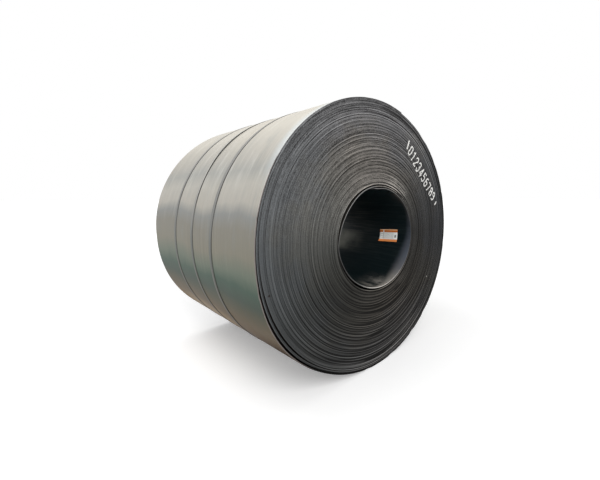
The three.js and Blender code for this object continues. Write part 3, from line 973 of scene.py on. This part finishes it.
def new_piece(name, mesh, finish):
    """A piece from a bmesh that is done with, with its faces turned outwards."""
    bmesh.ops.recalc_face_normals(mesh, faces=mesh.faces)
    piece = add_object(name, bpy.data.meshes.new(name))
    mesh.to_mesh(piece.data)
    mesh.free()
    piece.data.materials.append(finish)
    return piece


def add_bar(mesh, sections):
    """The faces round a bar of closed sections, and a strip of faces over each of its ends."""
    for section, following in zip(sections, sections[1:]):
        for corner in range(len(section)):
            after = (corner + 1) % len(section)
            mesh.faces.new((section[corner], section[after], following[after], following[corner]))
    for end in (sections[0], sections[-1]):
        last = len(end) - 1
        for corner in range(len(end) // 2 - 1):
            mesh.faces.new((end[corner], end[corner + 1], end[last - 1 - corner], end[last - corner]))


def crimp_at(along):
    """How far the seal's sides are pressed in at a place along it."""
    away = abs(abs(along) - SEAL_CRIMP_SPACING / 2) / (SEAL_CRIMP_LENGTH / 2)
    return SEAL_CRIMP_DEPTH * (0.5 + 0.5 * math.cos(math.pi * away)) if away < 1 else 0.0


def seal_section(squeeze):
    """The folded sheet across the strap: points (across, up) round its outside and back round its inside."""
    half = STRAP_WIDTH / 2 + SEAL_GAP + SEAL_SHEET
    top = STRAP_CLEARANCE + 2 * STRAP_THICKNESS + 2 * SEAL_GAP + SEAL_SHEET
    outside = [(half - squeeze, SEAL_GAP), (half - squeeze, top / 2)]
    for step in range(SEAL_BEND_STEPS + 1):
        share = step / SEAL_BEND_STEPS
        angle = share * math.pi / 2
        pressed = squeeze * SEAL_BEND_SQUEEZE * (1 - share)
        outside.append((half - SEAL_BEND + SEAL_BEND * math.cos(angle) - pressed,
                        top - SEAL_BEND + SEAL_BEND * math.sin(angle)))
    inside = []
    for across, up in outside:
        inside.append((across - SEAL_SHEET * (1 if up < top - SEAL_BEND / 2 else 0.5),
                       up - SEAL_SHEET * (0 if up < top - SEAL_BEND * 0.9 else 1)))
    left = [(-across, up) for across, up in reversed(outside)]
    left_inside = [(-across, up) for across, up in inside]
    return outside + left + left_inside + list(reversed(inside))


def make_seal(name, y):
    """The folded sheet along the strap, crimped as it goes."""
    mesh = bmesh.new()
    sections = []
    for station in range(SEAL_STATIONS):
        along = (station / (SEAL_STATIONS - 1) - 0.5) * SEAL_LENGTH
        clock = SEAL_CLOCK + math.degrees(along / seat_radius(SEAL_CLOCK))
        sections.append([mesh.verts.new(on_cylinder(clock, seat_radius(clock) + up, y + across))
                         for across, up in seal_section(crimp_at(along))])
    add_bar(mesh, sections)
    return new_piece(name, mesh, seal_steel)


def make_seal_steel():
    finish = Finish("seal_steel", SEAL_GREY, metallic=0.8)
    wear = noise(object_place(finish.tree, 20), seed=9, detail=4)
    finish.cover(SEAL_WORN, fade(wear, 0.35, 0.7))
    return finish.done(0.32 + wear * 0.2)


seal_steel = make_seal_steel()
for where, (place, _, _) in STRAPS.items():
    fit(make_seal(f"{where}_seal", place), "seal_steel", f"strap_seal_{where}")

# ---- The label ----
# A printed paper label, stuck by hand to the inside of the bore so that it stays legible when coils are
# stacked. The paste has let go of its lower corner at the far end, which has curled up.

LABEL_LENGTH = 0.159
LABEL_HEIGHT = 0.084
LABEL_DROOP = 0.008              # how much lower its far end sits
LABEL_DROOP_MIDDLE = 0.65        # the share along it that it is turned about
LABEL_CLOCK = 96.5
LABEL_SETBACK = 0.113            # from the front end to the label
LABEL_PAPER = 0.0003
LABEL_PASTE = 0.0006
LABEL_CURL = 0.012
LABEL_CURL_REACH = 0.045
LABEL_CURL_POWER = 1.5
LABEL_LOWER_LIFT = (0.07, 0.0012)    # the share of the label that has let go there, and how far it lifts
LABEL_NEAR_LIFT = (0.04, 0.0008)
LABEL_COLUMNS = 24
LABEL_ROWS = 16
LABEL_LINES = 6
LABEL_RULES = (0.27, 0.71)       # from the lowest ruled line to the highest, as shares of its height
LABEL_RULE = 0.022
LABEL_BOXES = [                  # left, right, low and high edge, blur and strength of its inked boxes
    (0.775, 0.79, 0.25, 0.74, 0.008, 0.6),
    (0.08, 0.15, 0.35, 0.55, 0.015, 1.0),
]
LABEL_WHITE = (0.95, 0.96, 0.92)
LABEL_GREY = (0.66, 0.68, 0.67)
LABEL_INK = (0.1, 0.1, 0.105)
LABEL_BROWN = (0.55, 0.13, 0.012)
LABEL_CREAM = (0.95, 0.6, 0.34)
LABEL_ORANGE = (0.88, 0.3, 0.09)


def label_place(along, down, lift):
    """A point on the label, from 0 to 1 along it from its near end and down from its upper edge."""
    droop = (along - LABEL_DROOP_MIDDLE) * LABEL_DROOP
    clock = LABEL_CLOCK + math.degrees(((down - 0.5) * LABEL_HEIGHT + droop) / BORE_RADIUS)
    growth = (STRIP_SIZES["Pitch"] + STRIP_SIZES["Bore slack"]) * ((clock - HEAD_CLOCK) / 360 % 1)
    sag = STRIP_SIZES["Sag"] * math.cos(2 * math.radians(clock))
    to_corner = math.hypot((1 - along) * LABEL_LENGTH, (1 - down) * LABEL_HEIGHT)
    lift += LABEL_PASTE + LABEL_CURL * max(0.0, 1 - to_corner / LABEL_CURL_REACH) ** LABEL_CURL_POWER
    for from_edge, (share, height) in ((1 - down, LABEL_LOWER_LIFT), (along, LABEL_NEAR_LIFT)):
        lift += max(0.0, 1 - from_edge / share) * height
    y = -HALF_WIDTH + LABEL_SETBACK + along * LABEL_LENGTH
    return on_cylinder(clock, BORE_RADIUS + growth - sag - lift, y)


def make_label():
    """A bar of thin sections, down its front and up its back, with each point's place on the print."""
    mesh = bmesh.new()
    layer = mesh.loops.layers.uv.new("print")
    downs = [row / LABEL_ROWS for row in range(LABEL_ROWS + 1)]
    outline = [(down, LABEL_PAPER) for down in downs] + [(down, 0.0) for down in reversed(downs)]
    sections, print_place = [], {}
    for column in range(LABEL_COLUMNS + 1):
        along = column / LABEL_COLUMNS
        sections.append([mesh.verts.new(label_place(along, down, lift)) for down, lift in outline])
        print_place.update({corner: (along, 1 - down) for corner, (down, _) in zip(sections[-1], outline)})
    add_bar(mesh, sections)
    for face in mesh.faces:
        face.smooth = True
        for loop in face.loops:
            loop[layer].uv = print_place[loop.vert]
    return new_piece("label", mesh, label_paper)


def box_share(along, up, left, right, low, high, blur=0.008):
    """1 inside a box on the print, and 0 outside it."""
    inside = fade(along, left - blur, left + blur) * fade(along, right + blur, right - blur)
    return inside * fade(up, low - blur, low + blur) * fade(up, high + blur, high - blur)


def make_label_paper():
    """White paper with an orange band at its top and another at its bottom, and ruled lines to write on."""
    finish = Finish("label_paper", LABEL_WHITE, specular_ior_level=0.2)
    place = result_of(finish.tree, "ShaderNodeUVMap", uv_map="print")
    along, up = place.part("X"), place.part("Y")
    smear = noise(place.vector("MULTIPLY", (9, 9, 9)), seed=135, detail=4, roughness=0.6)
    finish.cover(LABEL_GREY, fade(smear, 0.45, 0.75) * 0.5)
    lowest, highest = LABEL_RULES
    for line in range(LABEL_LINES):
        low = lowest + line * (highest - lowest) / (LABEL_LINES - 1)
        ruled = box_share(along, up, 0.2, 0.93 - line % 2 * 0.12, low, low + LABEL_RULE)
        finish.cover(LABEL_INK, ruled * (0.3 + smear))
    for *box, strength in LABEL_BOXES:
        finish.cover(LABEL_INK, box_share(along, up, *box) * strength)
    faded = box_share(along, up, 0.745, 0.8, 0.7, 1.1)
    finish.cover(LABEL_BROWN, fade(up, 0.755, 0.775) * (1 - faded * 0.9))
    finish.cover(LABEL_CREAM, fade(up, 0.86, 1.0) * (0.4 + smear * 0.7))
    finish.cover(LABEL_ORANGE, fade(up, 0.205, 0.185))
    return finish.done(0.5 + smear * 0.2)


label_paper = make_label_paper()
fit(make_label(), "label_paper", "bore_label")

# ---- The painted figures ----
# White paint, sprayed through a stencil across the edges of the turns on the front end, with a stroke
# before and after the figures. It lies on the crown of each turn, and the grooves between break it up.

FIGURES = "0123456789"
FIRST_FIGURE = (0.3126, 1.3291)  # x and z of its middle
LAST_FIGURE = (0.6093, 1.0314)
FIGURE_WIDTH = 0.025
FIGURE_HEIGHT = 0.066
BRUSH = 0.0052                   # half the width of a painted line
STROKE_BRUSH = 1.3 * BRUSH
# The strokes, from the first and the last figure: along the row, outwards, lean and half length.
FIRST_STROKE = (-0.0465, 0.002, -17, 0.028)
LAST_STROKE = (0.065, -0.0096, 6, 0.014)
PAINT_STEP = 0.002               # round the coil
PAINT_FILM = 0.0002              # in front of the steel
PAINT_ROOTS = 0.0001             # and behind its face
PAINT_RAY_START = -1.0
PAINT_CLOCKS = (18, 80)          # the clock angles that the row lies between
PAINT_MIDDLE = 50
PAINT_BARS = ((0.06, 0.5), (0.5, 0.94))    # two side by side on each turn, in shares of its thickness
PAINT_WHITE = (0.9, 0.89, 0.86)
PAINT_WORN = (0.35, 0.34, 0.32)

# Each figure's lines, in shares of its width and height from its lower left corner.
LOOP = [(0.3, 0), (0, 0.14), (0, 0.86), (0.3, 1), (0.7, 1), (1, 0.86), (1, 0.14), (0.7, 0)]
UPPER = [(0.25, 0.54), (0, 0.66), (0, 0.88), (0.25, 1), (0.75, 1), (1, 0.88), (1, 0.66), (0.75, 0.54)]
LOWER = [(0.25, 0), (0, 0.12), (0, 0.42), (0.25, 0.54), (0.75, 0.54), (1, 0.42), (1, 0.12), (0.75, 0)]
STROKES = {
    "0": [LOOP],
    "1": [[(0.1, 0.8), (0.55, 1), (0.55, 0)]],
    "2": [[(0, 0.8), (0.25, 1), (0.75, 1), (1, 0.84), (1, 0.66), (0, 0), (1, 0)]],
    "3": [[(0, 0.86), (0.25, 1), (0.75, 1), (1, 0.88), (1, 0.66), (0.6, 0.54), (1, 0.42), (1, 0.12),
           (0.75, 0), (0.25, 0), (0, 0.14)]],
    "4": [[(0.75, 0), (0.75, 1), (0, 0.3), (1, 0.3)]],
    "5": [[(0.95, 1), (0.1, 1), (0.05, 0.56), (0.7, 0.6), (1, 0.45), (1, 0.14), (0.7, 0), (0, 0.08)]],
    "6": [[(0.9, 1), (0.35, 1), (0, 0.7), (0, 0.42)], LOWER + LOWER[:1]],
    "7": [[(0, 1), (1, 1), (0.35, 0)]],
    "8": [UPPER + UPPER[:1], LOWER],
    "9": [UPPER + UPPER[:1], [(1, 0.66), (1, 0.3), (0.65, 0), (0.1, 0)]],
}


def painted_lines():
    """All the painted lines, as pairs of points in the plane of the front end, with half their width."""
    first, last = Vector(FIRST_FIGURE), Vector(LAST_FIGURE)
    right = (last - first).normalized()
    outward = Vector((-right.y, right.x))
    lines = []
    for place, figure in enumerate(FIGURES):
        middle = first.lerp(last, place / (len(FIGURES) - 1))
        corner = middle - right * FIGURE_WIDTH / 2 - outward * FIGURE_HEIGHT / 2
        for stroke in STROKES[figure]:
            points = [corner + right * FIGURE_WIDTH * x + outward * FIGURE_HEIGHT * y for x, y in stroke]
            lines += [(near, far, BRUSH) for near, far in zip(points, points[1:])]
    for figure, (along, out, lean, half) in ((first, FIRST_STROKE), (last, LAST_STROKE)):
        middle = figure + right * along + outward * out
        arm = (outward * math.cos(math.radians(lean)) + right * math.sin(math.radians(lean))) * half
        lines.append((middle - arm, middle + arm, STROKE_BRUSH))
    return lines


def is_painted(point, lines):
    for near, far, brush in lines:
        run = far - near
        along = min(1.0, max(0.0, (point - near).dot(run) / run.length_squared))
        if (point - near - run * along).length < brush:
            return True
    return False


def turn_radius(turn, clock):
    """The radius of a tight turn's inner face on the right side of the coil, in Python numbers."""
    depth = (turn - 1) / (TURNS - 2)
    sag = STRIP_SIZES["Sag"] * math.cos(2 * math.radians(clock)) * (1 - turn / (TURNS - 1)) ** SAG_FADE
    slack = STRIP_SIZES["Bore slack"] + STRIP_SIZES["Second bore slack"] * min(1, turn - 1)
    return BORE_RADIUS + STRIP_SIZES["Pitch"] * turn + slack * (1 - depth) - sag


def place_on_turn(turn, share, y):
    """A place on a tight turn, at a share of its thickness from its inner face."""
    clock = (turn * 360 + HEAD_CLOCK) % 360
    return on_cylinder(clock, turn_radius(turn, clock) + share * STRIP_THICKNESS, y)


def painted_runs(lines):
    """The stretches of turn numbers that the lines cover, each with the bar of the turn that it is on."""
    for whole in range(1, WHOLE_TURNS - 1):
        first, last = (whole + (clock - HEAD_CLOCK) % 360 / 360 for clock in PAINT_CLOCKS)
        count = int((last - first) * math.tau * turn_radius(whole, PAINT_MIDDLE) / PAINT_STEP)
        for bar in PAINT_BARS:
            run = []
            for step in range(count + 1):
                turn = first + (last - first) * step / count
                if is_painted(place_on_turn(turn, sum(bar) / 2, 0).xz, lines):
                    run.append(turn)
                else:
                    yield run, bar
                    run = []


def make_painted_figures():
    """Short bars of paint film on the turns, wherever a painted line crosses one."""
    steel = tight_turns.data
    tree = BVHTree.FromPolygons(
        [vertex.co for vertex in steel.vertices],
        [face.vertices for face in steel.polygons if face.center.y < -HALF_WIDTH / 2],
    )
    mesh = bmesh.new()
    for run, (low, high) in painted_runs(painted_lines()):
        if len(run) < 2:
            continue
        sections = []
        for turn in run:
            sections.append([])
            front, back = -PAINT_FILM, PAINT_ROOTS
            for share, depth in ((low, front), (high, front), (high, back), (low, back)):
                start = place_on_turn(turn, share, PAINT_RAY_START)
                hit = tree.ray_cast(start, Vector((0, 1, 0)))[0]
                sections[-1].append(mesh.verts.new(hit + Vector((0, depth, 0))))
        add_bar(mesh, sections)
    return new_piece("painted_figures", mesh, stencil_paint)


def make_stencil_paint():
    finish = Finish("stencil_paint", PAINT_WHITE, specular_ior_level=0.2)
    wear = noise(object_place(finish.tree, 60), seed=16, detail=4, roughness=0.7)
    finish.cover(PAINT_WORN, fade(wear, 0.5, 0.8) * 0.6)
    return finish.done(0.6 + wear * 0.2)


stencil_paint = make_stencil_paint()
fit(make_painted_figures(), "hot_rolled_steel")

# ---- The floor, the light and the camera ----
# The coil lies on a plain pale floor in front of a white backdrop, under a large soft lamp at the front
# left and a weaker one overhead. None of these is part of it.

FLOOR_REACH = 60
FLOOR_PALE = (0.9, 0.9, 0.9)
FLOOR_LIFT = 0.28                # how much the floor glows for the camera alone
FAR_LIFT = 0.5                   # more of it where the lamps hardly reach
FILL_LIGHT = 0.5
WHITE = (1, 1, 1)
LAMPS = [                        # name, place, aim, size and power
    ("key", (-2.6, -4.9, 4.6), (0, -0.1, 0.8), 3.0, 270),
    ("overhead", (-1.2, 0.8, 4.4), (0, 0.2, 0.8), 2.4, 60),
]
CAMERA_PLACE = (-1.3783, -1.8286, 1.0480)
CAMERA_AIM = (0.75684, 0.64358, -0.11399)
CAMERA_LENS = 18.2515
CAMERA_SENSOR = 36               # its width in mm
CAMERA_SHIFT = (-0.13034, -0.01859)


def seen_directly(tree):
    """1 for what the camera sees straight or in a reflection or through glass, and 0 for other rays."""
    camera, glossy, through = (
        result_of(tree, "ShaderNodeLightPath", output=f"Is {kind} Ray")
        for kind in ("Camera", "Glossy", "Transmission")
    )
    return (camera + glossy + through).math("MINIMUM", 1.0)


def make_pale_floor():
    finish = Finish("pale_floor", FLOOR_PALE, emission_color=WHITE)
    away = object_place(finish.tree).vector("LENGTH", output="Value")
    lift = FLOOR_LIFT + fade(away, 2.0, 8.0) * FAR_LIFT
    feed(finish.sockets["Emission Strength"], seen_directly(finish.tree) * lift)
    return finish.done(0.9)


def add_aimed(name, data, place, aim):
    """A lamp or a camera, which looks along its own -Z, turned to its aim."""
    thing = add_object(name, data)
    thing.location = place
    thing.rotation_euler = Vector(aim).to_track_quat("-Z", "Y").to_euler()
    return thing


floor = add_object("floor", bpy.data.meshes.new("floor"))
mesh = bmesh.new()
bmesh.ops.create_grid(mesh, x_segments=1, y_segments=1, size=FLOOR_REACH)
mesh.to_mesh(floor.data)
mesh.free()
floor.data.materials.append(make_pale_floor())

world = bpy.data.worlds.new("studio")
bpy.context.scene.world = world
world.use_nodes = True
backdrop = world.node_tree.nodes["Background"]
feed(backdrop.inputs["Color"], WHITE)
feed(backdrop.inputs["Strength"], seen_directly(world.node_tree) * (1 - FILL_LIGHT) + FILL_LIGHT)

for name, place, aim, size, power in LAMPS:
    lamp = bpy.data.lights.new(name, "AREA")
    lamp.size = size
    lamp.energy = power
    add_aimed(name, lamp, place, Vector(aim) - Vector(place))

camera = add_aimed("camera", bpy.data.cameras.new("camera"), CAMERA_PLACE, CAMERA_AIM)
camera.data.sensor_width = CAMERA_SENSOR
camera.data.lens = CAMERA_LENS
camera.data.shift_x, camera.data.shift_y = CAMERA_SHIFT
camera.data.clip_end = 300
bpy.context.scene.camera = camera
bpy.context.scene.view_settings.view_transform = "Standard"
